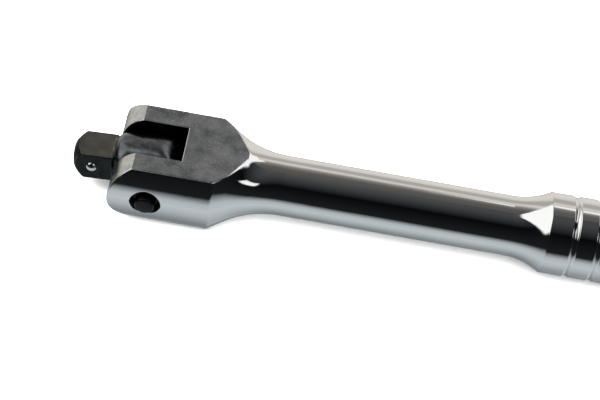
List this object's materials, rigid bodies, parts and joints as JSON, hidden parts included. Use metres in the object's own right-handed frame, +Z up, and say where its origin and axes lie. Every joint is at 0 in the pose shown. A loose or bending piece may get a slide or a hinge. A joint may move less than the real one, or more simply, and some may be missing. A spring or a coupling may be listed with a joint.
{
  "type": "breaker bar",
  "caption": "Short flex-head breaker bar: chromed steel handle with a knurled round grip, slotted head and a hinged black square drive with a sprung ball.",
  "frame": {"origin": "middle of the bottom of the whole tool's box, on the surface that the grip rests on", "axes": "+X from the drive square along the bar to the end of the grip, +Y along the pivot pin, +Z up, square to the flats of the head"},
  "size_m": [0.15, 0.023, 0.0155],
  "materials": {
    "polished_chrome": "polished chrome plate on forged steel, with ground flats",
    "black_oxide": "oiled black oxide on hardened steel",
    "bearing_steel": "bright hardened steel",
    "spring_steel": "plain drawn spring wire"
  },
  "bodies": {
    "handle": {"handle_bar": "polished_chrome", "pivot_pin": "black_oxide", "friction_spring": "spring_steel"},
    "tang": {"drive_tang": "black_oxide", "detent_spring": "spring_steel"},
    "ball": {"detent_ball": "bearing_steel"},
    "plunger": {"friction_plunger": "bearing_steel"}
  },
  "joints": [
    {"name": "knuckle_pivot", "type": "hinge", "parent": "handle", "child": "tang", "pos_m": [-0.05971, 0, 0.00773], "axis": [0, 1, 0], "range_deg": [-86, 94]},
    {"name": "detent_ball_press", "type": "slide", "parent": "tang", "child": "ball", "axis": [0, 1, 0], "range_m": [0, 0.00045], "stiffness_N_per_m": 1200, "springref_m": -0.0006, "deforming": ["detent_spring"]},
    {"name": "friction_plunger_press", "type": "slide", "parent": "handle", "child": "plunger", "axis": [1, 0, 0], "range_m": [0, 0.0006], "stiffness_N_per_m": 1500, "springref_m": -0.001, "deforming": ["friction_spring"]}
  ]
}
